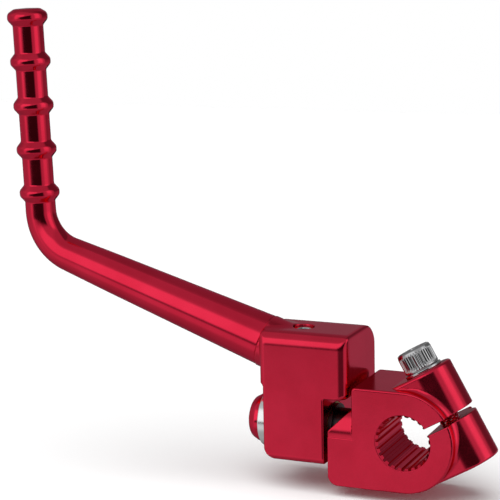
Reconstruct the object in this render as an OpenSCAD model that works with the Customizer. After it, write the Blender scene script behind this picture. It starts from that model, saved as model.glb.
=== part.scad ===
// Folding kick-start lever for a small motorcycle.
// A splined clamp hub carries a steel pivot, a knuckle block folds on that pivot,
// and a turned and bent bar with a ribbed foot peg is pressed into the knuckle.
// Origin: centre of the splined bore, halfway through the hub.
// -X runs out along the pivot axis to the knuckle, -Y is the outer side of the
// vehicle (Y is the bore axis), and +Z is up. The lever is drawn folded away.

/* [Splined hub] */
// Length of the hub along the bore
hub_depth = 22; // [21:0.5:26]
// Radius of the round end of the hub
hub_radius = 14.4; // [13.8:0.1:14.9]
// Distance from the bore axis to the left side of the hub
hub_left = 14.9; // [14.5:0.1:15.5]
// Radius of the spline's tooth tips
spline_tip_r = 7.3; // [7:0.05:7.5]
// Depth of the spline's grooves
spline_depth = 0.55; // [0.3:0.05:0.6]
// Number of spline teeth
spline_teeth = 24; // [20:2:26]
// Width of the bore's end chamfers
bore_chamfer = 0.7; // [0.5:0.1:1]
// Rounding of the hub's top left corner
hub_corner_r = 1.2; // [0.5:0.1:2]

/* [Clamp ears] */
// Width of the clamping slit
slit_w = 2; // [1.5:0.1:2.5]
// Angle of the slit above the horizontal
slit_tilt = 29.5; // [25:0.5:32]
// Outer radius of the ears about the pinch bolt
ear_radius = 7.9; // [7.5:0.1:8.5]
// Half height of the ears along the pinch bolt
ear_half = 14.5; // [14:0.1:15]
// Distance from the bore axis to the pinch bolt axis
bolt_offset = 11.4; // [11.3:0.1:12]
// Position of the pinch bolt along the bore
bolt_y = -0.5; // [-1:0.1:1]

/* [Stop lug] */
// Distance from the bore axis to the left face of the lug
lug_left = 22.1; // [21.5:0.1:22.3]
// Height of the ledge at the foot of the boss, from the bore axis
lug_top = -0.3; // [-1:0.1:0.3]
// Rounding of the ledge's edges
lug_top_r = 0.4; // [0.3:0.1:1]
// Radius of the boss round the pivot shaft
boss_r = 9.3; // [9:0.1:9.4]
// Height at which the slanted cut of the boss starts on the lug's left face
slant_low = 1.2; // [0.8:0.1:2]
// Angle of the boss's slanted cut
slant_turn = 45; // [40:1:50]
// Rounding of the lug's lower left corner
lug_corner_r = 3; // [2:0.1:4]

/* [Pivot] */
// Height of the pivot axis above the bore axis
pivot_z = 0.5; // [0.3:0.1:0.7]
// Radius of the pivot shaft
shaft_r = 5; // [4.8:0.1:5.1]
// Inner end of the shaft, measured from the bore axis
shaft_inner_x = 9.4; // [9.3:0.1:10]
// Thickness of the washer under the end cap
washer_t = 2.4; // [1.5:0.1:2.6]
// Outer radius of the washer under the end cap
washer_r = 8; // [7:0.1:8.4]
// Radius of the end cap
cap_r = 6.9; // [6.5:0.1:8]
// Height of the end cap
cap_t = 4.2; // [3.5:0.1:4.6]
// Radial running clearance of the bushes on the shaft
run_gap = 0.03; // [0.02:0.01:0.05]

/* [Knuckle block] */
// Distance from the bore axis to the left face of the block
block_left = 42.6; // [42:0.1:44]
// Distance from the bore axis to the right face of the overhang
block_right = 16.15; // [16:0.05:17]
// Depth of the block along the bore
block_depth = 24; // [23:0.1:25]
// Distance from the block's front face to the pivot axis
pivot_depth = 9.5; // [9.3:0.1:9.8]
// Height of the block's top above the bore axis
block_top = 28.3; // [28:0.1:29]
// Height of the block's underside below the bore axis
block_bottom = 8.9; // [8.5:0.1:9.3]
// Clearance left at the stop when the lever is swung out
stop_gap = 0.25; // [0.2:0.05:0.4]
// Depth of the milled step behind the end washer
step_depth = 1; // [0.6:0.1:1.2]
// Height of the milled step above the bore axis
step_top = 12.7; // [12:0.1:13]
// Rounding of the block's top front edge
block_top_r = 4; // [3:0.1:4.2]
// Rounding of the block's top back edge
block_back_r = 9; // [7:0.1:9.5]
// Rounding of the block's long lower edges
block_low_r = 2; // [1:0.1:2.5]
// Rounding of the block's lower outer corner
block_corner_r = 3.4; // [2:0.1:4]
// Rounding of the block's upright front edge on the hub's side
block_end_r = 3; // [1.5:0.1:3.5]

/* [Lever bar] */
// Angle of the arm above the horizontal
arm_tilt = 18.56; // [17:0.1:20]
// Height at which the arm's axis meets the block's left face
arm_root_z = 22.9; // [22.5:0.1:23.2]
// Radius of the arm at its root
arm_root_r = 7.4; // [7.2:0.1:7.5]
// Radius of the arm where the bend starts
arm_end_r = 5; // [4.8:0.1:5.2]
// Distance along the arm from the block to the bend's corner
arm_len = 77.9; // [72:0.5:84]
// Centre line radius of the bend
bend_r = 14; // [13:0.5:16]
// Lean of the peg away from the vertical
peg_lean = 1.77; // [0:0.1:4]
// Radius of the peg's rod
peg_r = 4.5; // [4.3:0.1:4.7]
// Outer radius of the peg's ribs
rib_r = 5.9; // [5.6:0.1:6.2]
// Distance between the peg's ribs
rib_pitch = 13; // [12:0.5:14]
// Number of the peg's ribs
rib_count = 5; // [4:1:5]

/* [Detent] */
// Distance from the bore axis to the detent's bore
detent_x = 32.4; // [32.2:0.1:32.6]
// Radius of the detent ball
ball_r = 2.5; // [2.4:0.05:2.5]
// Depth of the ball's track in the shaft
track_depth = 1; // [0.8:0.1:1.2]
// Recess of the set screw below the block's top
screw_recess = 0.7; // [0.4:0.1:1.5]

/* [Hidden] */
$fn = 64;

anodised = "#B01E36";
steel = "#B9BABD";
bronze = "#B08D4C";

over = 1;                          // extra length of a cutter past a face
hub_front = -hub_depth / 2;
pivot_y = hub_front + pivot_depth;
notch_z = pivot_z + pivot_depth + stop_gap;
spline_root_r = spline_tip_r + spline_depth;
tooth_w = 1;                       // width of a spline groove at the tooth tips
groove_floor_w = 0.7;              // width of a spline groove at its floor

bolt_r = 3;                        // M6 thread
bolt_clear_r = 3.2;
bolt_head_r = 5;
bolt_head_h = 6;
bolt_len = 25;
bolt_key = 5;                      // key size across the flats
lock_washer_t = 0.8;
lock_washer_r = 5.4;

side_gap = 0.05;                   // axial play beside each washer
block_face = block_left - step_depth;
block_back = hub_front + block_depth;
back_end_r = 1.2;                  // rounding of the block's upright back edge by the hub
outer_end_r = 2.2;                 // rounding of the block's upright edges at its outer end
block_low_right = lug_left + 1.1;
washer_left = block_face + side_gap + washer_t;
bush_r = 6.5;
bush_len = 6.2;
thrust_r = 6.2;
dowel_r = 1.5;
dowel_x = 18.5;
cap_edge_r = 2;
cap_thread_r = 3;
cap_thread_len = 8;

arm_collar = 1.5;                  // length of the collar that the arm stands in
arm_collar_r = 7.6;
spigot_r = 5.2;
spigot_len = 5.5;
arm_dowel_depth = 19;
bend_turn = 90 - arm_tilt - peg_lean;
bend_start = arm_len - bend_r * tan(bend_turn / 2);
bend_rod_r = arm_end_r - 0.08;     // the bar thins a little in the bend
bend_lap = 0.5;                    // degrees by which the bend enters its neighbours
first_rib = 5.4;                   // height of the lowest rib above the bend
rib_edge_r = 2;
peg_top = first_rib + (rib_count - 1) * rib_pitch;
dome_h = 0.6;

ball_z = pivot_z + shaft_r - track_depth + ball_r;
track_gap = 0.3;                   // room round the ball in its track
ball_bore_r = ball_r + 0.1;
screw_len = 6;
screw_key = 3;
screw_top = block_top - screw_recess;
spring_wire = 0.35;
spring_r = 2;
spring_turns = 8;
spring_low = ball_z + ball_r + 0.35;
spring_high = screw_top - screw_len - spring_wire - 0.05;
ring_steps = 18;                   // stations per turn of the spring
wire_sides = 8;

// Round bar along the pivot axis, from x0 to x1.
module rod_x(x0, x1, r) {
    translate([x0, pivot_y, pivot_z])
        rotate([0, 90, 0])
            cylinder(h = x1 - x0, r = r);
}

// Flat rectangle from [u0, v0] to [u1, v1] with round corners.
// The list r holds the corner radii, from the lower left corner round to the right.
module round_rect(u0, u1, v0, v1, r) {
    polygon([[u0 + r[0], v0], [u1 - r[1], v0], [u1 - r[1], v0 + r[1]],
             [u1, v0 + r[1]], [u1, v1 - r[2]], [u1 - r[2], v1 - r[2]],
             [u1 - r[2], v1], [u0 + r[3], v1], [u0 + r[3], v1 - r[3]],
             [u0, v1 - r[3]], [u0, v0 + r[0]], [u0 + r[0], v0 + r[0]]]);
    translate([u0 + r[0], v0 + r[0]]) circle(r[0]);
    translate([u1 - r[1], v0 + r[1]]) circle(r[1]);
    translate([u1 - r[2], v1 - r[2]]) circle(r[2]);
    translate([u0 + r[3], v1 - r[3]]) circle(r[3]);
}

// Turns the children so that their Z runs along the arm, from the block's left face.
module on_arm() {
    translate([-block_left, pivot_y, arm_root_z])
        rotate([0, arm_tilt - 90, 0])
            children();
}

// Turns the children so that their X runs out along the slit and Z along the bolt.
module on_slit() {
    rotate([0, -slit_tilt, 0]) children();
}

// Outline of the splined bore.
module spline_outline() {
    circle(spline_tip_r);
    for (i = [0 : spline_teeth - 1]) {
        rotate(i * 360 / spline_teeth)
            polygon([[spline_tip_r - over, -tooth_w / 2],
                     [spline_tip_r, -tooth_w / 2],
                     [spline_root_r, -groove_floor_w / 2],
                     [spline_root_r, groove_floor_w / 2],
                     [spline_tip_r, tooth_w / 2],
                     [spline_tip_r - over, tooth_w / 2]]);
    }
}

// Outline of the hub, square on the left and round on the right.
module hub_outline() {
    circle(hub_radius);
    translate([-hub_left + hub_corner_r, -hub_radius])
        square([hub_left - hub_corner_r, 2 * hub_radius]);
    translate([-hub_left, -hub_radius])
        square([hub_corner_r, 2 * hub_radius - hub_corner_r]);
    translate([-hub_left + hub_corner_r, hub_radius - hub_corner_r])
        circle(hub_corner_r);
}

// Lug that stops the overhang of the knuckle when the lever is swung out.
module stop_lug() {
    root = hub_left - over;
    low_r = 0.5;
    intersection() {
        translate([-lug_left, 0, 0])
            rotate([90, 0, 90])
                linear_extrude(lug_left - root)
                    round_rect(hub_front, -hub_front, -hub_radius, lug_top,
                               [low_r, low_r, lug_top_r, lug_top_r]);
        rotate([90, 0, 0])
            linear_extrude(hub_depth, center = true) {
                translate([-lug_left + lug_corner_r, -hub_radius])
                    square([lug_left - root - lug_corner_r, hub_radius + lug_top]);
                translate([-lug_left, -hub_radius + lug_corner_r])
                    square([lug_corner_r, hub_radius + lug_top - lug_corner_r]);
                translate([-lug_left + lug_corner_r, -hub_radius + lug_corner_r])
                    circle(lug_corner_r);
            }
    }
}

// Boss round the pivot shaft, cut off at a slant at the top of its outer end.
module boss() {
    difference() {
        rod_x(-lug_left, -hub_left + over, boss_r);
        translate([-lug_left, 0, slant_low])
            rotate([0, -slant_turn, 0])
                translate([-2 * over, -hub_depth, 0])
                    cube([hub_radius, 2 * hub_depth, hub_radius]);
    }
}

// Both clamp ears in one piece, before the slit is cut.
module ears() {
    on_slit() {
        translate([0, bolt_y - ear_radius, -ear_half])
            cube([bolt_offset, 2 * ear_radius, 2 * ear_half]);
        translate([bolt_offset, bolt_y, -ear_half])
            cylinder(h = 2 * ear_half, r = ear_radius);
    }
}

module bore_chamfers() {
    for (side = [0, 180]) {
        rotate([90, 0, side])
            translate([0, 0, hub_depth / 2 - bore_chamfer])
                cylinder(h = bore_chamfer, r1 = spline_tip_r, r2 = spline_tip_r + bore_chamfer);
    }
}

module hub_clamp() {
    color(anodised)
    difference() {
        union() {
            rotate([90, 0, 0])
                linear_extrude(hub_depth, center = true) hub_outline();
            stop_lug();
            boss();
            ears();
        }
        rotate([90, 0, 0])
            linear_extrude(hub_depth + 2 * over, center = true) spline_outline();
        bore_chamfers();
        rod_x(-lug_left - over, -shaft_inner_x, shaft_r);
        translate([-dowel_x, pivot_y, -hub_radius - over])
            cylinder(h = hub_radius + over, r = dowel_r);
        on_slit() {
            translate([0, -hub_depth, -slit_w / 2])
                cube([bolt_offset + 2 * ear_radius, 2 * hub_depth, slit_w]);
            translate([bolt_offset, bolt_y, 0])
                cylinder(h = ear_half + over, r = bolt_clear_r);
            translate([bolt_offset, bolt_y, -ear_half - over])
                cylinder(h = ear_half + over, r = bolt_r);
        }
    }
}

module pinch_bolt() {
    seat = ear_half + lock_washer_t;
    color(steel)
    on_slit()
        translate([bolt_offset, bolt_y, seat])
            difference() {
                union() {
                    translate([0, 0, -bolt_len]) cylinder(h = bolt_len, r = bolt_r);
                    cylinder(h = bolt_head_h - 0.7, r = bolt_head_r);
                    translate([0, 0, bolt_head_h - 0.7])
                        cylinder(h = 0.7, r1 = bolt_head_r, r2 = bolt_head_r - 0.6);
                }
                translate([0, 0, bolt_head_h - 3])
                    cylinder(h = 3 + over, r = bolt_key / sqrt(3), $fn = 6);
            }
}

module pinch_washer() {
    color(steel)
    on_slit()
        translate([bolt_offset, bolt_y, ear_half])
            difference() {
                cylinder(h = lock_washer_t, r = lock_washer_r);
                translate([0, 0, -over]) cylinder(h = lock_washer_t + 2 * over, r = bolt_r);
            }
}

// Quarter-turn track for the detent ball, with a round pocket at each end.
module ball_track() {
    cut_r = ball_r + track_gap;
    reach = ball_z - pivot_z;
    translate([-detent_x, pivot_y, pivot_z]) {
        rotate([90, 0, 90])
            rotate([0, 0, 90])
                rotate_extrude(angle = 90) translate([reach, 0]) circle(cut_r);
        translate([0, 0, reach]) sphere(cut_r);
        translate([0, -reach, 0]) sphere(cut_r);
    }
}

module pivot_shaft() {
    color(steel)
    difference() {
        rod_x(-washer_left, -shaft_inner_x, shaft_r);
        ball_track();
        rod_x(-washer_left - over, -washer_left + cap_thread_len, cap_thread_r);
        translate([-dowel_x, pivot_y, -hub_radius])
            cylinder(h = hub_radius, r = dowel_r);
    }
}

module shaft_dowel() {
    recess = 0.6;
    color(steel)
    translate([-dowel_x, pivot_y, -hub_radius + recess])
        cylinder(h = hub_radius - recess, r = dowel_r);
}

module pivot_washer() {
    color(steel)
    difference() {
        rod_x(-washer_left, -block_face - side_gap, washer_r);
        rod_x(-washer_left - over, -block_face + over, shaft_r);
    }
}

// Domed cap with a threaded stem that screws into the end of the shaft.
module pivot_cap() {
    straight = cap_t - cap_edge_r;
    color(anodised)
    translate([-washer_left, pivot_y, pivot_z])
        rotate([0, -90, 0])
            difference() {
                union() {
                    rotate_extrude() {
                        square([cap_r, straight]);
                        square([cap_r - cap_edge_r, cap_t]);
                        translate([cap_r - cap_edge_r, straight])
                            intersection() {
                                circle(cap_edge_r);
                                square(cap_edge_r);
                            }
                    }
                    translate([0, 0, -cap_thread_len + 0.5])
                        cylinder(h = cap_thread_len, r = cap_thread_r);
                }
                translate([0, 0, cap_t - 2.2])
                    cylinder(h = 2.2 + over, r = bolt_key / sqrt(3), $fn = 6);
            }
}

module thrust_washer() {
    color(steel)
    difference() {
        rod_x(-block_low_right + side_gap, -lug_left - side_gap, thrust_r);
        rod_x(-block_low_right - over, -lug_left + over, shaft_r);
    }
}

// The block before its notch and bores are cut.
module block_body() {
    height = block_top + block_bottom;
    intersection() {
        translate([-block_left, 0, 0])
            rotate([90, 0, 90])
                linear_extrude(block_left - block_right)
                    round_rect(hub_front, block_back, -block_bottom, block_top,
                               [block_low_r, block_low_r, block_back_r, block_top_r]);
        translate([0, 0, -block_bottom - over])
            linear_extrude(height + 2 * over)
                round_rect(-block_left, -block_right, hub_front, block_back,
                           [outer_end_r, block_end_r, back_end_r, outer_end_r]);
    }
}

// Rounds the lower outer corner of the block.
module corner_cut() {
    r = block_corner_r;
    translate([-block_face, pivot_y, -block_bottom])
        rotate([90, 0, 0])
            linear_extrude(2 * block_depth, center = true)
                difference() {
                    translate([-over, -over]) square(r + over);
                    translate([r, r]) circle(r);
                }
}

module knuckle_block() {
    color(anodised)
    difference() {
        union() {
            block_body();
            on_arm()
                translate([0, 0, arm_collar - 18])
                    cylinder(h = 18, r = arm_collar_r);
        }
        translate([-block_low_right, pivot_y - block_depth, -block_bottom - over])
            cube([block_left, 2 * block_depth, notch_z + block_bottom + over]);
        translate([-block_left - over, pivot_y - block_depth, -block_bottom - over])
            cube([step_depth + over, 2 * block_depth, step_top + block_bottom + over]);
        corner_cut();
        rod_x(-block_left, -block_low_right + over, bush_r);
        translate([-detent_x, pivot_y, pivot_z])
            cylinder(h = block_top, r = ball_bore_r);
        translate([-detent_x, pivot_y, screw_top - screw_len])
            cylinder(h = block_top, r = bolt_r);
        on_arm()
            translate([0, 0, -spigot_len]) cylinder(h = spigot_len + 5, r = spigot_r);
        arm_dowel_hole(over);
    }
}

// Cross hole for the arm's dowel, let in from the inner side of the block.
module arm_dowel_hole(extra) {
    on_arm()
        translate([0, block_back - pivot_y + extra, -2])
            rotate([90, 0, 0])
                cylinder(h = arm_dowel_depth + extra, r = dowel_r);
}

module bush(x0) {
    color(bronze)
    difference() {
        rod_x(x0, x0 + bush_len, bush_r);
        rod_x(x0 - over, x0 + bush_len + over, shaft_r + run_gap);
    }
}

module outer_bush() {
    bush(-block_face);
}

module inner_bush() {
    bush(-block_low_right - bush_len);
}

// Ribbed foot peg, standing on the end of the bend.
module peg() {
    rotate_extrude() {
        square([peg_r, peg_top]);
        square([rib_r - rib_edge_r, peg_top + rib_edge_r]);
        for (i = [0 : rib_count - 1]) {
            translate([rib_r - rib_edge_r, first_rib + i * rib_pitch])
                circle(rib_edge_r);
        }
    }
    translate([0, 0, peg_top + rib_edge_r])
        cylinder(h = dome_h, r1 = rib_r - rib_edge_r, r2 = rib_r - 2 * rib_edge_r);
    cylinder(h = 3, r1 = arm_end_r, r2 = peg_r);
}

module lever_arm() {
    color(anodised)
    difference() {
        on_arm() {
            translate([0, 0, -spigot_len])
                cylinder(h = spigot_len + arm_collar + 1, r = spigot_r);
            translate([0, 0, arm_collar])
                cylinder(h = bend_start - arm_collar, r1 = arm_root_r, r2 = arm_end_r);
            translate([bend_r, 0, bend_start])
                rotate([90, 0, 0])
                    rotate([0, 0, 180 - bend_turn - bend_lap])
                        rotate_extrude(angle = bend_turn + 2 * bend_lap)
                            translate([bend_r, 0]) circle(bend_rod_r);
            translate([bend_r * (1 - cos(bend_turn)), 0, bend_start + bend_r * sin(bend_turn)])
                rotate([0, bend_turn, 0]) peg();
        }
        arm_dowel_hole(0);
    }
}

module arm_dowel() {
    recess = 1.6;
    color(steel)
    on_arm()
        translate([0, block_back - pivot_y - recess, -2])
            rotate([90, 0, 0])
                cylinder(h = arm_dowel_depth - recess, r = dowel_r);
}

module detent_ball() {
    color(steel)
    translate([-detent_x, pivot_y, ball_z]) sphere(ball_r);
}

// Point on the surface of the spring's wire: station i along it, side j round it.
function wire_point(i, j, count) =
    let (turn = 360 * i / ring_steps,
         side = 360 * j / wire_sides,
         rise = (spring_high - spring_low) * i / count,
         reach = spring_r + spring_wire * cos(side))
    [reach * cos(turn), reach * sin(turn), spring_low + rise + spring_wire * sin(side)];

module detent_spring() {
    count = spring_turns * ring_steps;
    points = [for (i = [0 : count], j = [0 : wire_sides - 1]) wire_point(i, j, count)];
    sides = [for (i = [0 : count - 1], j = [0 : wire_sides - 1])
        let (k = (j + 1) % wire_sides)
        [i * wire_sides + j, (i + 1) * wire_sides + j,
         (i + 1) * wire_sides + k, i * wire_sides + k]];
    first = [[for (j = [0 : wire_sides - 1]) j]];
    last = [[for (j = [wire_sides - 1 : -1 : 0]) count * wire_sides + j]];
    color(steel)
    translate([-detent_x, pivot_y, 0])
        polyhedron(points, concat(sides, first, last));
}

module detent_screw() {
    color(steel)
    translate([-detent_x, pivot_y, screw_top - screw_len])
        difference() {
            cylinder(h = screw_len, r = bolt_r);
            translate([0, 0, screw_len - 3])
                cylinder(h = 3 + over, r = screw_key / sqrt(3), $fn = 6);
        }
}

hub_clamp();
pinch_bolt();
pinch_washer();
pivot_shaft();
shaft_dowel();
pivot_washer();
pivot_cap();
thrust_washer();
knuckle_block();
outer_bush();
inner_bush();
lever_arm();
arm_dowel();
detent_ball();
detent_spring();
detent_screw();
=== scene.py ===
"""Looks of the folding kick-start lever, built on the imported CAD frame.

Lengths are in millimetres unless a name or comment says otherwise.
"""
import math

import bpy
import numpy as np
from mathutils import Matrix, Vector


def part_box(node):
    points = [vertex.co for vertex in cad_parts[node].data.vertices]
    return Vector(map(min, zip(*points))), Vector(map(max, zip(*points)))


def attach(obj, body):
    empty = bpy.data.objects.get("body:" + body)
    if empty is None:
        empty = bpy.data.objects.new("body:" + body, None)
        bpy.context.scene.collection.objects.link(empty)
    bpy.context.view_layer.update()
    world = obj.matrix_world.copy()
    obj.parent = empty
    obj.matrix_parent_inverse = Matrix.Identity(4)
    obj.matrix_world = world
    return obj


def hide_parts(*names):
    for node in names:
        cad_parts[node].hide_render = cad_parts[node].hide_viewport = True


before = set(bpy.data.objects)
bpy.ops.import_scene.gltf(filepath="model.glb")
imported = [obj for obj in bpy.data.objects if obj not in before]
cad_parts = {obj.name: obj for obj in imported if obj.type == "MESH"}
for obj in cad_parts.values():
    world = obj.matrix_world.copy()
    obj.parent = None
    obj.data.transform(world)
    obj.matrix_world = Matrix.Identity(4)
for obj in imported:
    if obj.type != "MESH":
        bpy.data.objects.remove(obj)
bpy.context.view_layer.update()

MM = 0.001


def cad_box(node):
    """Two corners of a CAD node's box."""
    lo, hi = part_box(node)
    return np.array(lo) / MM, np.array(hi) / MM


# ---------------------------------------------------------------- sizes read from the CAD frame
hub_lo, hub_hi = cad_box("hub_clamp")
block_lo, block_hi = cad_box("knuckle_block")
cap_lo, cap_hi = cad_box("pivot_cap")
washer_lo, washer_hi = cad_box("pivot_washer")
screw_lo, screw_hi = cad_box("detent_screw")
shaft_lo, shaft_hi = cad_box("pivot_shaft")

HALF = (hub_hi[1] - hub_lo[1]) / 2                  # half depth of the hub
PIVOT_Y = (shaft_lo[1] + shaft_hi[1]) / 2
PIVOT_Z = (shaft_lo[2] + shaft_hi[2]) / 2
LUG_LEFT = hub_lo[0]

# ---------------------------------------------------------------- sizes that equal part.scad's
HUB_R = 14.4
HUB_LEFT = -14.9
HUB_CORNER_R = 1.2
SPLINE_TIP_R = 7.3
SPLINE_FLOOR_R = 7.85
SPLINE_TEETH = 24
LUG_TOP = -0.3                                      # ledge at the foot of the boss
LUG_CORNER_R = 3.0
BOSS_R = 9.3
SLANT_Z = 1.2                                       # height of the boss's slanted cut at the lug's left face
SLIT_TILT = math.radians(29.5)
SLIT_HALF = 1.0
EAR_R = 7.9
EAR_HALF = 14.5
BOLT_X = 11.4                                       # distance of the pinch bolt from the bore axis
BOLT_Y = -0.5
BOLT_R = 3.0
BOLT_HEAD_R = 5.0
BOLT_HEAD_H = 6.0
BOLT_LEN = 25.0
BOLT_KEY = 5.0
LOCK_T = 0.8                                        # thickness of the lock washer
LOCK_R = 5.4
SHAFT_R = 5.0
SHAFT_END_X = -9.4
DOWEL_R = 1.5
HUB_DOWEL_X = -18.5
BLOCK_LEFT = -42.6
BLOCK_TOP = 28.3
NOTCH_X = -23.2
NOTCH_Z = 10.25
STEP_X = -41.6                                      # milled step behind the outer washer
STEP_Z = 12.7
BUSH_R = 6.5
COLLAR_R = 7.6
COLLAR_LEN = 1.5
DETENT_X = -32.4
TILT = math.radians(18.56)                          # of the arm, above the horizontal
LEAN = math.radians(1.77)                           # of the peg, away from the vertical
BEND_R = 14.0
ARM_LEN = 77.9
ARM_ROOT = np.array([BLOCK_LEFT, PIVOT_Y, 22.9])
ROD_R = 4.5                                         # peg between its ribs
RIB_PITCH = 13.0
RIB_COUNT = 5
FIRST_RIB = 5.4                                     # height of the lowest rib above the bend

# ---------------------------------------------------------------- sizes that differ from part.scad's
CORNER_R = 4.4                                      # lower outer corner of the block, 3.4 in the CAD
BOLT_CLEAR_R = 3.25                                 # 3.2 in the CAD
SPIGOT_R = 5.25                                     # hole for the arm's spigot, 5.2 in the CAD
RIB_R = 5.92                                        # 5.9 in the CAD

# ---------------------------------------------------------------- mesh sizes
STEP = 0.32                  # grid step of the hub and the block
PAD = 0.9                                           # room round the CAD box for the grid
SLEEVE_R = 8.3                                      # the splined sleeve fills the bore from here inwards


# ---------------------------------------------------------------- distance fields
def smax(a, b, r):
    """Intersection with a rounded edge of radius r."""
    return np.minimum(-r, np.maximum(a, b)) + np.hypot(np.maximum(a + r, 0), np.maximum(b + r, 0))


def smin(a, b, r):
    """Union with a fillet of radius r."""
    return -smax(-a, -b, r)


def rect(u, v, u0, u1, v0, v1, r=0.0):
    """Rectangle with corners of radius r."""
    qu = np.abs(u - (u0 + u1) / 2) - (u1 - u0) / 2 + r
    qv = np.abs(v - (v0 + v1) / 2) - (v1 - v0) / 2 + r
    return np.minimum(np.maximum(qu, qv), 0) + np.hypot(np.maximum(qu, 0), np.maximum(qv, 0)) - r


def outline(u, v, u0, u1, v0, v1, low_low, high_low, low_high, high_high):
    """Rectangle whose corners have their own radii, named by u then v."""
    left = u < (u0 + u1) / 2
    under = v < (v0 + v1) / 2
    r = np.where(under, np.where(left, low_low, high_low), np.where(left, low_high, high_high))
    return rect(u, v, u0, u1, v0, v1, r)


def on_slit(x, z):
    """Distance out along the slit, and up along the pinch bolt."""
    c, s = math.cos(SLIT_TILT), math.sin(SLIT_TILT)
    return x * c + z * s, z * c - x * s


def on_arm(x, y, z):
    """Distance along the arm from its root, above its axis in the XZ plane, and away from its axis."""
    dx, dz = x - ARM_ROOT[0], z - ARM_ROOT[2]
    along = -dx * math.cos(TILT) + dz * math.sin(TILT)
    up = dx * math.sin(TILT) + dz * math.cos(TILT)
    return along, up, np.hypot(up, y - ARM_ROOT[1])


def hub_field(x, y, z):
    """Hub with its lug, boss and clamp ears. Its bore is open out to the splined sleeve."""
    inside_faces = HALF - np.abs(y)
    disc = np.hypot(x, z) - HUB_R
    left = rect(x, z, HUB_LEFT, 0.5, -HUB_R, HUB_R, HUB_CORNER_R)
    body = smax(np.minimum(disc, left), -inside_faces, 0.5)
    # stop lug and the boss round the pivot shaft
    top = rect(y, z, -HALF, HALF, -40, LUG_TOP, 0.35)
    away = np.hypot(y - PIVOT_Y, z - PIVOT_Z)
    slant = (z - SLANT_Z - (x - LUG_LEFT)) / math.sqrt(2)
    boss = smax(away - BOSS_R, slant, 0.25)
    side = rect(x, z, LUG_LEFT, -4, -HUB_R, 40, LUG_CORNER_R)
    lug = smax(smin(top, boss, 0.06), side, 0.35)
    # the fillets fade out towards the flat faces, so that those stay flat
    d = smin(body, lug, 0.5 * np.clip((inside_faces - 0.5) / 2.5, 0, 1) + 1e-3)
    # clamp ears
    xs, zs = on_slit(x, z)
    bolt = np.hypot(xs - BOLT_X, y - BOLT_Y)
    across = np.hypot(np.maximum(xs - BOLT_X, 0) + np.minimum(xs, 0), y - BOLT_Y) - EAR_R
    ears = np.maximum(smax(across, np.abs(zs) - EAR_HALF, 0.8), -xs)
    d = smin(d, ears, 1.3 * np.clip((EAR_HALF - 0.6 - np.abs(zs)) / 3.0, 0, 1) + 0.05)
    # slit and round holes
    d = smax(d, -np.maximum(np.abs(zs) - SLIT_HALF, -xs + 2.0), 0.22)
    d = smax(d, -np.maximum(bolt - BOLT_CLEAR_R, -zs), 0.3)
    d = smax(d, -np.maximum(bolt - BOLT_R, zs), 0.3)
    d = smax(d, -np.maximum(away - SHAFT_R, x - SHAFT_END_X), 0.3)
    d = smax(d, -np.maximum(np.hypot(x - HUB_DOWEL_X, y - PIVOT_Y) - DOWEL_R, z), 0.25)
    return np.maximum(d, SLEEVE_R - np.hypot(x, z))


def block_field(x, y, z):
    """Knuckle block with its notch, the arm's collar and all its bores."""
    y0, y1, z0, x1 = block_lo[1], block_hi[1], block_lo[2], block_hi[0]
    soft = 0.6                                      # rounds the edges where two outlines meet
    inset = 0.293 * soft                            # makes up for what the rounding takes off a face
    sides = outline(y, z, y0, y1, z0, BLOCK_TOP, 2.0, 2.0, 4.0, 9.0)
    plan = outline(x, y, BLOCK_LEFT, x1, y0, y1, 2.2, 3.0, 2.2, 1.3)
    face = outline(x, z, BLOCK_LEFT, x1, z0, BLOCK_TOP, 1.5, 1.0, 1.5, 1.3)
    d = smax(smax(sides - inset, plan - inset, soft), face - inset, soft)
    along, up, away = on_arm(x, y, z)
    collar = np.maximum(smax(away - COLLAR_R, along - COLLAR_LEN, 0.35), -16.5 - along)
    d = smin(d, collar, 0.9)
    notch = smax(NOTCH_X - x, z - NOTCH_Z, 0.5)
    d = smax(d, -notch, 0.55 + 1.3 * np.clip((x + 20) / 3.5, 0, 1))
    d = smax(d, -smax(x - STEP_X, z - STEP_Z, 0.6), 0.7)
    # lower outer corner
    low = z0 + CORNER_R - z
    corner = np.hypot(np.maximum(STEP_X + CORNER_R - x, 0), low) - CORNER_R
    d = np.maximum(d, np.where(low > 0, corner, -CORNER_R))
    # bores for the bushes, the set screw, the ball and the arm's spigot
    d = smax(d, BUSH_R - np.hypot(y - PIVOT_Y, z - PIVOT_Z), 0.3)
    spot = np.hypot(x - DETENT_X, y - PIVOT_Y)
    d = smax(d, -np.maximum(spot - 3.05, 20.6 - z), 0.35)
    d = smax(d, -np.maximum(spot - 2.6, 3.0 - z), 0.1)
    d = smax(d, -np.maximum(away - SPIGOT_R, np.abs(along - 2.0) - 7.5), 0.1)
    # cross hole of the arm's dowel, from the back
    pin = np.maximum(np.hypot(along + 2.0, up), -y - 3.0) - DOWEL_R
    return smax(d, -pin, 0.3)


def gradient(field, p, e=0.01):
    """Slope of a distance field at the points p."""
    g = np.empty_like(p)
    for i in range(3):
        a, b = p.copy(), p.copy()
        a[:, i] += e
        b[:, i] -= e
        g[:, i] = field(*a.T) - field(*b.T)
    return g / (2 * e)


def relaxed(points, edges):
    """Moves each point halfway to the mean of its neighbours."""
    total = np.zeros_like(points)
    count = np.bincount(edges[:, 0], minlength=len(points)) + np.bincount(edges[:, 1], minlength=len(points))
    for i in range(3):
        total[:, i] = np.bincount(edges[:, 0], points[edges[:, 1], i], len(points))
        total[:, i] += np.bincount(edges[:, 1], points[edges[:, 0], i], len(points))
    return 0.5 * points + 0.5 * total / np.maximum(count, 1)[:, None]


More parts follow.
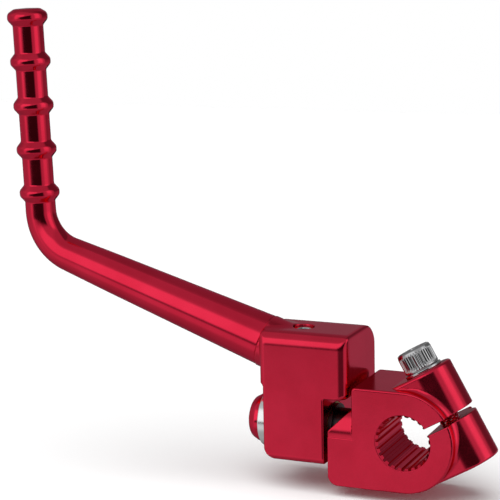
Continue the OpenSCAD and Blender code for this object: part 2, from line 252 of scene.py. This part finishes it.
def surface(field, lo, hi, step):
    """Quad mesh of field = 0: one vertex per crossed cell, pulled onto the surface."""
    n = np.ceil((np.array(hi) - lo) / step).astype(int) + 1
    axes = [lo[i] + step * np.arange(n[i]) for i in range(3)]
    grid = field(*np.meshgrid(*axes, indexing="ij"))
    inside = grid < 0
    corners = [(i, j, k) for i in (0, 1) for j in (0, 1) for k in (0, 1)]

    def part(a, c):
        return a[c[0]:n[0] - 1 + c[0], c[1]:n[1] - 1 + c[1], c[2]:n[2] - 1 + c[2]]

    # cells that the surface crosses, each with a point at the mean of its edge crossings
    count = sum(part(inside, c).astype(np.int8) for c in corners)
    cells = np.argwhere((count > 0) & (count < 8))
    index = np.full(n - 1, -1)
    index[tuple(cells.T)] = np.arange(len(cells))
    value = np.stack([grid[tuple((cells + c).T)] for c in corners], 1)
    total = np.zeros((len(cells), 3))
    hits = np.zeros(len(cells))
    for a, ca in enumerate(corners):
        for b, cb in enumerate(corners):
            if sum(cb) - sum(ca) != 1 or any(q < p for p, q in zip(ca, cb)):
                continue
            va, vb = value[:, a], value[:, b]
            cross = (va < 0) != (vb < 0)
            f = np.where(cross, va / np.where(cross, va - vb, 1), 0)
            point = np.array(ca) + f[:, None] * (np.array(cb) - np.array(ca))
            total += np.where(cross[:, None], point, 0)
            hits += cross
    points = np.array(lo) + step * (cells + total / hits[:, None])

    # one quad for each grid edge that the surface crosses
    quads = []
    for axis in range(3):
        u, v = (axis + 1) % 3, (axis + 2) % 3
        below = [slice(None)] * 3
        above = [slice(None)] * 3
        below[axis], above[axis] = slice(0, -1), slice(1, None)
        a, b = inside[tuple(below)], inside[tuple(above)]
        edge = np.argwhere(a != b)
        edge = edge[(edge[:, u] > 0) & (edge[:, v] > 0)]
        edge = edge[(edge[:, u] < n[u] - 1) & (edge[:, v] < n[v] - 1)]
        out = a[tuple(edge.T)]
        ring = []
        for du, dv in ((-1, -1), (0, -1), (0, 0), (-1, 0)):
            c = edge.copy()
            c[:, u] += du
            c[:, v] += dv
            ring.append(index[tuple(c.T)])
        ring = np.stack(ring, 1)
        quads.append(np.where(out[:, None], ring, ring[:, ::-1]))
    quads = np.concatenate(quads)

    # pulls the points onto the surface, evening them out twice on the way
    edges = np.concatenate([quads[:, [i, (i + 1) % 4]] for i in range(4)])
    for turn in range(6):
        if turn in (1, 3):
            points = relaxed(points, edges)
        g = gradient(field, points)
        move = field(*points.T) / np.maximum((g ** 2).sum(1), 0.2)
        points = points - np.clip(move, -step, step)[:, None] * g
    normal = gradient(field, points)
    normal /= np.maximum(np.linalg.norm(normal, axis=1), 1e-6)[:, None]
    return points, quads, normal


# ---------------------------------------------------------------- meshes
def make_piece(name, points, faces, body, material, stands_for=None, normals=None, sharp=None):
    """Adds a piece of the visual model. Its points are in mm."""
    mesh = bpy.data.meshes.new(name)
    mesh.from_pydata((np.asarray(points) * MM).tolist(), [], [list(map(int, f)) for f in faces])
    mesh.validate()
    mesh.materials.append(material)
    mesh.polygons.foreach_set("use_smooth", [True] * len(mesh.polygons))
    if sharp is not None:
        mesh.set_sharp_from_angle(angle=math.radians(sharp))
    mesh.update()
    obj = bpy.data.objects.new(name, mesh)
    bpy.context.scene.collection.objects.link(obj)
    if normals is not None:
        mesh.normals_split_custom_set_from_vertices(np.asarray(normals).tolist())
    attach(obj, body)
    if stands_for:
        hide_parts(stands_for)


def rounded(corners, arc=5, guard=0.06):
    """Polyline through (u, v, radius) corners, with arcs at the corners and guard points beside them."""
    pts = [np.array(c[:2], float) for c in corners]
    rad = [c[2] if len(c) > 2 else 0.0 for c in corners]
    out = [pts[0]]
    for i in range(1, len(pts) - 1):
        a, p, b = pts[i - 1], pts[i], pts[i + 1]
        da, db = (a - p), (b - p)
        la, lb = np.linalg.norm(da), np.linalg.norm(db)
        da, db = da / la, db / lb
        half = math.acos(float(np.clip(da @ db, -1, 1))) / 2
        if rad[i] <= 0 or half > math.pi / 2 - 0.01:
            out.append(p)
            continue
        cut = min(rad[i] / math.tan(half), 0.48 * la, 0.48 * lb)
        r = cut * math.tan(half)
        mid = (da + db) / np.linalg.norm(da + db)
        centre = p + mid * (r / math.sin(half))
        s, e = p + da * cut, p + db * cut
        a0 = math.atan2(*(s - centre)[::-1])
        a1 = math.atan2(*(e - centre)[::-1])
        sweep = (a1 - a0 + math.pi) % (2 * math.pi) - math.pi
        if la - cut > 3 * guard:
            out.append(s + da * guard)
        for k in range(arc + 1):
            ang = a0 + sweep * k / arc
            out.append(centre + r * np.array([math.cos(ang), math.sin(ang)]))
        if lb - cut > 3 * guard:
            out.append(e + db * guard)
    out.append(pts[-1])
    return np.array(out)


def grid_faces(rows, cols, first, closed=True):
    """Quads between neighbouring rows of points; closed rows are rings."""
    faces = []
    for i in range(rows - 1):
        for j in range(cols if closed else cols - 1):
            k = (j + 1) % cols
            a, b = first + i * cols, first + (i + 1) * cols
            faces.append((a + j, a + k, b + k, b + j))
    return faces


class Turned:
    """Rings about an axis. Each ring is (height, radius), and either may be a list with a value per angle."""

    def __init__(self, origin, axis, side, count):
        self.origin = np.array(origin, float)
        self.z = np.array(axis, float) / np.linalg.norm(axis)
        x = np.array(side, float)
        x = x - self.z * (x @ self.z)
        self.x = x / np.linalg.norm(x)
        self.y = np.cross(self.z, self.x)
        self.count = count
        self.angles = 2 * np.pi * np.arange(count) / count
        self.points = []
        self.faces = []

    def ring(self, h, r):
        h = np.broadcast_to(h, self.count)
        r = np.broadcast_to(r, self.count)
        c, s = np.cos(self.angles) * r, np.sin(self.angles) * r
        return self.origin + h[:, None] * self.z + c[:, None] * self.x + s[:, None] * self.y

    def skin(self, rings, loop=False):
        """Joins rings in order. Returns the first point's index of the first and of the last ring."""
        first = len(self.points)
        rows = [self.ring(h, r) for h, r in rings]
        for row in rows:
            self.points.extend(row)
        self.faces += grid_faces(len(rows), self.count, first)
        last = first + (len(rows) - 1) * self.count
        if loop:
            for j in range(self.count):
                k = (j + 1) % self.count
                self.faces.append((last + j, last + k, first + k, first + j))
        return first, last

    def lid(self, first, h, up):
        """Closes a ring with a flat cone whose tip is at height h on the axis."""
        centre = len(self.points)
        self.points.append(self.origin + self.z * h)
        for j in range(self.count):
            k = (j + 1) % self.count
            tri = (first + j, first + k, centre)
            self.faces.append(tri if up else tri[::-1])


def hex_radius(angles, flats):
    """Radius of a hexagon at each angle, from its size across the flats."""
    return flats / 2 / np.cos((angles + np.pi / 6) % (np.pi / 3) - np.pi / 6)


def washer(place, axis, thick, bore, rim, rim_edge, seam):
    """Points and faces of a flat washer with rounded edges. Its section starts and ends at height seam."""
    turned = Turned(place, axis, FRONT, 160)
    bore_edge = 0.1
    section = [(seam, bore), (thick, bore, bore_edge), (thick, rim, rim_edge)]
    section += [(0.0, rim, rim_edge), (0.0, bore, bore_edge), (seam, bore)]
    line = rounded(section, 4, 0.04)
    turned.skin([(h, r) for h, r in line[:-1]][::-1], loop=True)
    return turned.points, [f[::-1] for f in turned.faces]


# ---------------------------------------------------------------- materials
def shader(name):
    mat = bpy.data.materials.new(name)
    mat.use_nodes = True
    tree = mat.node_tree
    return mat, tree, tree.nodes["Principled BSDF"]


def noise(tree, scale, detail, stretch=None):
    """Noise on the object's own coordinates, drawn out along an axis where stretch is given."""
    coord = tree.nodes.new("ShaderNodeTexCoord").outputs["Object"]
    node = tree.nodes.new("ShaderNodeTexNoise")
    node.inputs["Scale"].default_value = scale
    node.inputs["Detail"].default_value = detail
    node.inputs["Roughness"].default_value = 0.55
    if stretch:
        mapping = tree.nodes.new("ShaderNodeMapping")
        mapping.inputs["Scale"].default_value = stretch
        tree.links.new(coord, mapping.inputs["Vector"])
        coord = mapping.outputs["Vector"]
    tree.links.new(coord, node.inputs["Vector"])
    return node.outputs["Fac"]


def ramp(tree, value, lo, hi, a, b):
    """Maps lo..hi to a..b."""
    node = tree.nodes.new("ShaderNodeMapRange")
    node.inputs["From Min"].default_value = lo
    node.inputs["From Max"].default_value = hi
    node.inputs["To Min"].default_value = a
    node.inputs["To Max"].default_value = b
    tree.links.new(value, node.inputs["Value"])
    return node.outputs["Result"]


def add(tree, a, b):
    node = tree.nodes.new("ShaderNodeMath")
    node.operation = "ADD"
    tree.links.new(a, node.inputs[0])
    tree.links.new(b, node.inputs[1])
    return node.outputs[0]


def mix_color(tree, fac, a, b):
    node = tree.nodes.new("ShaderNodeMix")
    node.data_type = "RGBA"
    tree.links.new(fac, node.inputs["Factor"])
    node.inputs[6].default_value = (*a, 1)
    node.inputs[7].default_value = (*b, 1)
    return node.outputs[2]


def metal(name, dark, light, rough, grain_scale, grain, streaks=False, edge=(1, 1, 1, 1), coat=0.0):
    """Metal with a slight drift of colour, uneven polish, fine grain and, if asked, fine tool streaks."""
    mat, tree, bsdf = shader(name)
    bsdf.inputs["Metallic"].default_value = 1.0
    bsdf.inputs["Specular Tint"].default_value = edge
    bsdf.inputs["Coat Weight"].default_value = coat
    bsdf.inputs["Coat Roughness"].default_value = 0.15
    drift = ramp(tree, noise(tree, 55.0, 4.0), 0.35, 0.65, 0, 1)
    tree.links.new(mix_color(tree, drift, dark, light), bsdf.inputs["Base Color"])
    cloud = ramp(tree, noise(tree, 140.0, 5.0), 0.3, 0.7, rough[0], rough[1])
    wear = ramp(tree, noise(tree, 1600.0, 2.0), 0.3, 0.7, -0.02, 0.02)
    tree.links.new(add(tree, cloud, wear), bsdf.inputs["Roughness"])
    height = noise(tree, grain_scale, 2.0)
    if streaks:
        lines = noise(tree, 2600.0, 2.0, stretch=(0.06, 1.0, 1.0))
        height = add(tree, height, ramp(tree, lines, 0.3, 0.7, 0, 1))
    bump = tree.nodes.new("ShaderNodeBump")
    bump.inputs["Strength"].default_value = grain
    bump.inputs["Distance"].default_value = 0.04 * MM
    tree.links.new(height, bump.inputs["Height"])
    tree.links.new(bump.outputs["Normal"], bsdf.inputs["Normal"])
    return mat


RED_DARK = (0.76, 0.011, 0.050)
RED_LIGHT = (0.86, 0.018, 0.066)
RED_EDGE = (0.95, 0.42, 0.55, 1)                    # tint of the finish at grazing angles
red_satin = metal("red_anodised_satin", RED_DARK, RED_LIGHT, (0.13, 0.20), 5200.0, 0.06,
                  edge=RED_EDGE, coat=0.4)
red_polished = metal("red_anodised_polished", RED_DARK, RED_LIGHT, (0.08, 0.14), 4200.0, 0.03,
                     edge=RED_EDGE, coat=0.3)
bolt_steel = metal("bolt_steel_bright", (0.56, 0.56, 0.57), (0.74, 0.74, 0.75), (0.05, 0.11), 3800.0, 0.06)
pivot_steel = metal("pivot_steel_ground", (0.50, 0.50, 0.50), (0.64, 0.63, 0.62), (0.2, 0.32), 2600.0, 0.12,
                    streaks=True)
# painted shade: steel coloured near black for parts that sit in shadow in the notch under the block
shade_painted_steel = metal("pivot_steel_painted_shade", (0.05, 0.045, 0.05), (0.09, 0.085, 0.09), (0.3, 0.42), 2600.0, 0.12,
                   streaks=True)
bright_steel = metal("pivot_steel_bright", (0.90, 0.90, 0.90), (0.96, 0.96, 0.96), (0.12, 0.2), 2600.0, 0.08,
                     streaks=True)
bronze = metal("bush_bronze_sintered", (0.42, 0.27, 0.10), (0.58, 0.40, 0.17), (0.3, 0.45), 3000.0, 0.35)

CAD_LOOKS = {
    # the pivot shaft and the thrust washer take the steel painted dark as shade
    "pivot_shaft": shade_painted_steel,
    "shaft_dowel": pivot_steel,
    "thrust_washer": shade_painted_steel,
    "arm_dowel": pivot_steel,
    "detent_ball": pivot_steel,
    "detent_spring": pivot_steel,
    "outer_bush": bronze,
    "inner_bush": bronze,
}
for node, material in CAD_LOOKS.items():
    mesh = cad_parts[node].data
    mesh.materials.clear()
    mesh.materials.append(material)

# ---------------------------------------------------------------- directions
FRONT = np.array([0, -1.0, 0])
OUTER = np.array([-1.0, 0, 0])
SLIT_OUT = np.array([math.cos(SLIT_TILT), 0, math.sin(SLIT_TILT)])
SLIT_UP = np.array([-math.sin(SLIT_TILT), 0, math.cos(SLIT_TILT)])
ARM_DIR = np.array([-math.cos(TILT), 0, math.sin(TILT)])
ARM_UP = np.array([math.sin(TILT), 0, math.cos(TILT)])


# ---------------------------------------------------------------- hub: body and splined sleeve
def build_hub():
    points, quads, normals = surface(hub_field, hub_lo - PAD, hub_hi + PAD, STEP)
    # vertices near the sleeve's edge on the two faces are put right on it
    ring = np.hypot(points[:, 0], points[:, 2])
    near = (np.abs(ring - SLEEVE_R) < 0.8 * STEP) & (np.abs(np.abs(points[:, 1]) - HALF) < 0.8 * STEP)
    scale = np.where(near, SLEEVE_R / ring, 1.0)
    points[:, 0] *= scale
    points[:, 2] *= scale
    points[near, 1] = np.sign(points[near, 1]) * HALF
    normals[near] = np.stack([0 * points[near, 1], np.sign(points[near, 1]), 0 * points[near, 1]], 1)
    make_piece("hub_body", points, quads, "hub", red_satin, "hub_clamp", normals=normals)


def spline_radius(angle):
    """Radius of the splined outline at an angle, with softened groove edges."""
    pitch = 2 * np.pi / SPLINE_TEETH
    mean_r = 7.6
    half_groove = 0.33
    flank = 0.19                                    # width over which the groove rises to the tooth
    off = np.abs((angle + pitch / 2) % pitch - pitch / 2) * mean_r
    f = np.clip((off - half_groove) / flank, 0, 1)
    return SPLINE_FLOOR_R - (SPLINE_FLOOR_R - SPLINE_TIP_R) * (f * f * (3 - 2 * f))


def build_splines():
    """Sleeve of the bore: a lip on each face, a chamfer, and the grooves, open at the slit."""
    cols = SPLINE_TEETH * 26
    slit_half = SLIT_HALF + 0.012
    lip = HALF - 0.045                              # height at which the lip turns into the chamfer
    lip_r = 7.99
    # (radius, height, whether the grooves show) from outside the lip down into the bore
    end = [(9.0, HALF - 0.02, 0), (SLEEVE_R + 0.25, HALF - 0.015, 0), (SLEEVE_R + 0.02, HALF - 0.001, 0)]
    end += [(8.12, HALF, 0), (8.06, HALF - 0.005, 0), (8.02, HALF - 0.02, 0), (lip_r, lip, 0)]
    end += [(lip_r - d, lip - d, 1) for d in np.linspace(0.03, 0.69, 12)]
    end += [(0, lip - 0.7, 1), (0, lip - 0.755, 1)]
    rows = end + [(0, y, 1) for y in (9.0, 6.0, 3.0, 0.0, -3.0, -6.0, -9.0)]
    rows += [(r, -y, splined) for r, y, splined in end[::-1]]
    turn = np.linspace(0, 1, cols + 1)
    points = []
    for r, y, splined in rows:
        radius = np.full(cols + 1, float(r))
        # the slit's angle depends on the radius and the radius on the angle, so both are found twice
        for _ in range(2):
            gap = np.arcsin(slit_half / np.maximum(radius, 7))
            angle = SLIT_TILT + gap + turn * (2 * np.pi - 2 * gap)
            if splined:
                radius = np.maximum(spline_radius(angle), r)
        points += list(np.stack([radius * np.cos(angle), np.full(cols + 1, y), radius * np.sin(angle)], 1))
    faces = [f[::-1] for f in grid_faces(len(rows), cols + 1, 0, closed=False)]
    # the two cut ends at the slit
    for side in (0, cols):
        loop = [i * (cols + 1) + side for i in range(len(rows))]
        for i in range(len(loop) // 2 - 1):
            a, b = loop[i], loop[i + 1]
            c, d = loop[-2 - i], loop[-1 - i]
            faces.append((a, b, c, d) if side == 0 else (d, c, b, a))
    make_piece("hub_splines", points, faces, "hub", red_satin, sharp=40)


# ---------------------------------------------------------------- knuckle block
def build_knuckle():
    points, quads, normals = surface(block_field, block_lo - PAD, block_hi + PAD, STEP)
    make_piece("knuckle", points, quads, "lever", red_satin, "knuckle_block", normals=normals)


# ---------------------------------------------------------------- arm, bend and foot peg
BEND_TURN = math.pi / 2 - TILT - LEAN
BEND_START = ARM_LEN - BEND_R * math.tan(BEND_TURN / 2)
BEND_END = BEND_START + BEND_R * BEND_TURN


def centre_line(s):
    """Point on the bar's centre line at length s, and the in-plane direction across it."""
    a = min(max((s - BEND_START) / BEND_R, 0), BEND_TURN)
    extra = max(s - BEND_END, 0)
    across = BEND_R * (1 - math.cos(a)) + extra * math.sin(a)
    along = min(s, BEND_START) + BEND_R * math.sin(a) + extra * math.cos(a)
    return ARM_ROOT + ARM_UP * across + ARM_DIR * along, ARM_UP * math.cos(a) - ARM_DIR * math.sin(a)


def bar_profile():
    """(length, radius) of the bar, from its spigot in the block to the top of the peg."""
    line = [(-5.45, 0), (-5.45, 5.18, 0.4), (1.42, 5.18), (1.42, 7.42, 0.3)]
    line += [(BEND_START - 14, 5.72, 40), (BEND_START + 3.5, 5.02, 30), (BEND_END - 2, 4.56, 30)]
    for i in range(RIB_COUNT):
        c = BEND_END + FIRST_RIB + RIB_PITCH * i
        line += [(c - 2.5, ROD_R, 0.8), (c - 0.8, RIB_R, 1.5)]
        if i < RIB_COUNT - 1:
            line += [(c + 0.8, RIB_R, 1.5), (c + 2.5, ROD_R, 0.8)]
    line += [(c + 1.1, RIB_R, 1.9), (c + 2.4, 3.9, 1.8), (c + 2.6, 0)]
    line = rounded(line, arc=8)
    dense = [line[0]]
    for a, b in zip(line[:-1], line[1:]):
        in_bend = b[0] > BEND_START - 2 and a[0] < BEND_END + 2
        parts = max(1, int(math.ceil((b[0] - a[0]) / (0.35 if in_bend else 2.5))))
        dense += [a + (b - a) * k / parts for k in range(1, parts + 1)]
    return dense


def build_arm():
    sides = 144
    angles = 2 * np.pi * np.arange(sides) / sides
    profile = bar_profile()
    rows = len(profile) - 2                         # the first and last points lie on the axis
    points = []
    for s, r in profile[1:-1]:
        middle, side = centre_line(s)
        points += list(middle + r * (np.cos(angles)[:, None] * side + np.sin(angles)[:, None] * FRONT))
    faces = [f[::-1] for f in grid_faces(rows, sides, 0)]
    for start, s in ((0, profile[0][0]), ((rows - 1) * sides, profile[-1][0])):
        points.append(centre_line(s)[0])
        for j in range(sides):
            tri = (start + j, start + (j + 1) % sides, len(points) - 1)
            faces.append(tri if start == 0 else tri[::-1])
    make_piece("arm_and_peg", points, faces, "lever", red_polished, "lever_arm", sharp=35)


# ---------------------------------------------------------------- pinch bolt and its washer
def build_bolt():
    sides = 480
    ridges = 40
    depth = 0.2                                     # of the knurl's grooves
    top = BOLT_HEAD_H
    seat = SLIT_OUT * BOLT_X + np.array([0, BOLT_Y, 0]) + SLIT_UP * (EAR_HALF + LOCK_T)
    bolt = Turned(seat, SLIT_UP, FRONT, sides)
    wave = np.abs(((bolt.angles * ridges / (2 * np.pi)) % 1) - 0.5) * 2
    groove = np.clip((wave - 0.35) / 0.65, 0, 1)
    key = hex_radius(bolt.angles, BOLT_KEY)

    # head: from its seat up the knurled side, over the rim and down into the key socket
    foot = [(0.0, 4.6), (0.0, 4.82, 0.12), (0.35, BOLT_HEAD_R, 0.2), (0.6, BOLT_HEAD_R)]
    rings = [(0.0, BOLT_R), (0.0, 4.6)]
    rings += [(h, r) for h, r in rounded(foot, 3, 0.02)[1:]]
    knurl = [(0.62, BOLT_HEAD_R, 0.05), (0.85, BOLT_HEAD_R, 0.7)]
    knurl += [(h, BOLT_HEAD_R, 1.0) for h in (1.0, 2.0, 3.0, 4.0, 4.6)]
    knurl += [(4.75, 4.99, 0.8), (4.9, 4.97, 0.4), (5.0, 4.95, 0.0)]
    rings += [(h, r - depth * share * groove) for h, r, share in knurl]
    rim = [(5.0, 4.95), (top - 0.28, 4.78, 0.3), (top, 4.25, 0.2), (top, 3.6)]
    rings += [(h, r) for h, r in rounded(rim, 4, 0.03)[1:]]
    rings += [(top, 3.05), (top - 0.03, np.maximum(key, 2.98)), (top - 0.4, np.maximum(key, 2.62))]
    rings += [(top - 0.45, key), (top - 0.5, key), (top - 3.0, key), (top - 3.02, key - 0.05)]
    _, last = bolt.skin(rings)
    bolt.lid(last, top - 3.7, True)

    # threaded shank, from its end up to the plain part under the head
    shank = [(-BOLT_LEN, 2.4)]
    for h in np.arange(-BOLT_LEN, -4.0, 0.11):
        thread = np.abs(((h - bolt.angles / (2 * np.pi)) % 1) - 0.5) * 2
        fade = min(1.0, max(0.0, (-4.6 - h) / 1.2)) * min(1.0, max(0.0, (h + BOLT_LEN) / 0.6))
        point = min(0.0, (h + BOLT_LEN - 0.9) * 0.6)
        shank.append((h, BOLT_R - 0.3 * thread * fade + point))
    shank += [(-4.0, BOLT_R), (0.0, BOLT_R)]
    first, _ = bolt.skin(shank)
    bolt.lid(first, -BOLT_LEN, False)
    make_piece("pinch_bolt_m6", bolt.points, bolt.faces, "hub", bolt_steel, "pinch_bolt",
               sharp=32)

    place = SLIT_OUT * BOLT_X + np.array([0, BOLT_Y, 0]) + SLIT_UP * EAR_HALF
    points, faces = washer(place, SLIT_UP, LOCK_T - 0.02, 3.15, LOCK_R, 0.2, 0.4)
    make_piece("lock_washer", points, faces, "hub", bolt_steel, "pinch_washer", sharp=32)


# ---------------------------------------------------------------- outer washer and cap of the pivot
def build_outer_washer():
    place = (washer_hi[0], PIVOT_Y, PIVOT_Z)
    thick = washer_hi[0] - washer_lo[0]
    rim = (washer_hi[2] - washer_lo[2]) / 2
    points, faces = washer(place, OUTER, thick, SHAFT_R + 0.02, rim, 0.3, 0.5)
    make_piece("outer_washer", points, faces, "hub", bright_steel, "pivot_washer", sharp=32)


def build_cap():
    cap = Turned((washer_lo[0], PIVOT_Y, PIVOT_Z), OUTER, FRONT, 192)
    rise = washer_lo[0] - cap_lo[0]
    rim = (cap_hi[2] - cap_lo[2]) / 2
    key = hex_radius(cap.angles, BOLT_KEY)
    dome = [(0.0, 4.0), (0.02, rim - 0.05, 0.2), (1.5, rim, 1.5), (rise - 0.75, rim - 1.1, 1.8)]
    dome += [(rise, 4.1, 1.2), (rise, 3.5)]
    rings = [(-5.0, 3.0), (0.0, 3.0)]
    rings += [(h, r) for h, r in rounded(dome, 8, 0.05)]
    rings += [(rise, 3.1), (rise - 0.05, np.maximum(key, 3.0)), (rise - 0.4, np.maximum(key, 2.65))]
    rings += [(rise - 0.45, key), (rise - 0.5, key), (rise - 2.15, key), (rise - 2.2, key - 0.05)]
    first, last = cap.skin(rings)
    cap.lid(last, rise - 2.7, True)
    cap.lid(first, -5.0, False)
    make_piece("domed_cap", cap.points, cap.faces, "hub", red_polished, "pivot_cap", sharp=35)


# ---------------------------------------------------------------- set screw of the detent
def build_set_screw():
    middle = (screw_lo + screw_hi) / 2
    tall = screw_hi[2] - screw_lo[2]
    screw = Turned((middle[0], middle[1], screw_lo[2]), (0, 0, 1), FRONT, 144)
    key = hex_radius(screw.angles, 3.0)
    rings = [(0.0, 2.2), (0.05, 2.3)]
    for h in np.arange(0.5, tall - 0.5, 0.1):
        thread = np.abs(((h - screw.angles / (2 * np.pi)) % 1) - 0.5) * 2
        rings.append((h, 2.98 - 0.25 * thread))
    rings += [(tall - 0.35, 2.72), (tall - 0.05, 2.45), (tall, 2.36), (tall, 1.95)]
    rings += [(tall - 0.05, np.maximum(key, 1.85)), (tall - 0.3, key), (tall - 0.35, key)]
    rings += [(tall - 2.9, key), (tall - 2.95, key - 0.05)]
    first, last = screw.skin(rings)
    screw.lid(last, tall - 3.4, True)
    screw.lid(first, 0.0, False)
    make_piece("set_screw", screw.points, screw.faces, "lever", bolt_steel, "detent_screw",
               sharp=32)


build_hub()
build_splines()
build_knuckle()
build_arm()
build_bolt()
build_outer_washer()
build_cap()
build_set_screw()

# ---------------------------------------------------------------- camera
VIEW_TURN = (24.01, 10.87, -1.166)                  # azimuth, elevation and roll, in degrees
VIEW_SHIFT = (-41.62, 52.98, -472.3)                # right, up and ahead, from the bore on the front face


def build_camera():
    lens = bpy.data.cameras.new("camera")
    lens.sensor_width = 36.0
    lens.lens = 124.43
    lens.clip_start = 0.01
    camera = bpy.data.objects.new("camera", lens)
    bpy.context.scene.collection.objects.link(camera)
    az, el, roll = (math.radians(v) for v in VIEW_TURN)
    level = np.array([math.cos(az), math.sin(az), 0])
    ahead = np.array([-math.sin(az) * math.cos(el), math.cos(az) * math.cos(el), -math.sin(el)])
    above = np.cross(level, ahead)
    right = math.cos(roll) * level + math.sin(roll) * above
    up = math.cos(roll) * above - math.sin(roll) * level
    eye = np.array([0, -HALF, 0]) + VIEW_SHIFT[0] * right + VIEW_SHIFT[1] * up + VIEW_SHIFT[2] * ahead
    basis = np.stack([right, up, -ahead], 1)
    camera.matrix_world = Matrix([[*basis[i], eye[i] * MM] for i in range(3)] + [[0, 0, 0, 1]])
    bpy.context.scene.camera = camera


# ---------------------------------------------------------------- floor
FLOOR_HALF = 900.0
FLOOR_X = -60.0                                     # middle of the floor
FLOOR_Z = min(hub_lo[2], -17.0) - 0.5


def build_floor():
    mesh = bpy.data.meshes.new("floor")
    corners = [(-1, -1), (1, -1), (1, 1), (-1, 1)]
    points = [((FLOOR_X + FLOOR_HALF * u) * MM, FLOOR_HALF * v * MM, FLOOR_Z * MM) for u, v in corners]
    mesh.from_pydata(points, [], [(0, 1, 2, 3)])
    floor = bpy.data.objects.new("floor", mesh)
    bpy.context.scene.collection.objects.link(floor)
    mat, _, bsdf = shader("floor_paint")
    bsdf.inputs["Base Color"].default_value = (0.93, 0.93, 0.93, 1)
    bsdf.inputs["Roughness"].default_value = 0.9
    mesh.materials.append(mat)
    floor.visible_glossy = False


# ---------------------------------------------------------------- world: lights the part and shows in it
AMBIENT = 0.51
# soft boxes: azimuth range, elevation range, softness in degrees, brightness
PANELS = [
    (-400, 400, -95, -38, 10, 0.34),
    (-230, -95, -95, 95, 22, 0.25),
    (118, 230, -95, -6, 8, 0.34),
    (118, 230, -6, 95, 8, 0.14),
    (-182, -142, -60, -4, 6, 0.05),
    (-118, 118, 50, 120, 8, 0.42),
    (-50, -8, -34, -10, 5, 0.60),
    (-118, -58, -14, 12, 8, 0.40),
    (-46, 12, -8, 42, 5, 0.95),
    (45, 120, -8, 48, 6, 0.50),
    (75, 105, -6, 45, 5, 0.97),
    (-10, 56, -24, -6, 5, 0.12),
]
# dark flag in front of them, cut off along a slanted line
FLAG = (-36, 52, -12, 60, 4, 0.03)
FLAG_SLOPE = 0.42                                   # rise of the cut, in degrees per degree of azimuth
FLAG_CUT = (-200, 5.5, 4)                           # range and softness of the height above that line


def build_world():
    world = bpy.data.worlds.new("studio")
    bpy.context.scene.world = world
    world.use_nodes = True
    tree = world.node_tree
    tree.nodes.clear()

    def add_node(kind, *inputs, op=None):
        node = tree.nodes.new(kind)
        if op:
            node.operation = op
        for i, v in enumerate(inputs):
            if hasattr(v, "is_output"):
                tree.links.new(v, node.inputs[i])
            else:
                node.inputs[i].default_value = v
        return node

    def calc(op, a, b=None):
        inputs = (a,) if b is None else (a, b)
        return add_node("ShaderNodeMath", *inputs, op=op).outputs[0]

    def window(value, lo, hi, soft):
        rise = add_node("ShaderNodeMapRange", value, lo - soft, lo + soft, 0.0, 1.0).outputs[0]
        fall = add_node("ShaderNodeMapRange", value, hi - soft, hi + soft, 1.0, 0.0).outputs[0]
        return calc("MULTIPLY", rise, fall)

    def panel_mask(panel):
        a0, a1, e0, e1, soft = panel[:5]
        return calc("MULTIPLY", window(azimuth, a0, a1, soft), window(elevation, e0, e1, soft))

    def lay(glow, mask, bright):
        kept = calc("MULTIPLY", glow, calc("SUBTRACT", 1.0, mask))
        return calc("ADD", kept, calc("MULTIPLY", mask, bright))

    # azimuth 0 looks to -Y and +90 to +X, in degrees
    direction = add_node("ShaderNodeTexCoord").outputs["Generated"]
    x, y, z = add_node("ShaderNodeSeparateXYZ", direction).outputs[:3]
    azimuth = calc("MULTIPLY", calc("ARCTAN2", x, calc("MULTIPLY", y, -1.0)), math.degrees(1))
    elevation = calc("MULTIPLY", calc("ARCSINE", z), math.degrees(1))
    glow = AMBIENT
    for panel in PANELS:
        glow = lay(glow, panel_mask(panel), panel[5])
    above_line = calc("SUBTRACT", elevation, calc("MULTIPLY", azimuth, FLAG_SLOPE))
    glow = lay(glow, calc("MULTIPLY", panel_mask(FLAG), window(above_line, *FLAG_CUT)), FLAG[5])

    # the camera itself sees plain white
    grey = add_node("ShaderNodeCombineXYZ", glow, glow, glow).outputs[0]
    studio = add_node("ShaderNodeBackground", grey).outputs[0]
    plain = add_node("ShaderNodeBackground", (1, 1, 1, 1), 1.0).outputs[0]
    to_camera = add_node("ShaderNodeLightPath").outputs["Is Camera Ray"]
    blend = add_node("ShaderNodeMixShader", to_camera, studio, plain).outputs[0]
    add_node("ShaderNodeOutputWorld", blend)


# ---------------------------------------------------------------- light
def build_lamp():
    lamp = bpy.data.lights.new("overhead", "SUN")
    lamp.angle = math.radians(70)
    lamp.energy = 2.6
    sun = bpy.data.objects.new("overhead", lamp)
    bpy.context.scene.collection.objects.link(sun)
    sun.rotation_euler = Vector((0.1, 0.35, -1.0)).to_track_quat("-Z", "Y").to_euler()
    sun.visible_glossy = False


build_camera()
build_floor()
build_world()
build_lamp()
bpy.context.scene.view_settings.view_transform = "Standard"
bpy.context.scene.view_settings.look = "None"
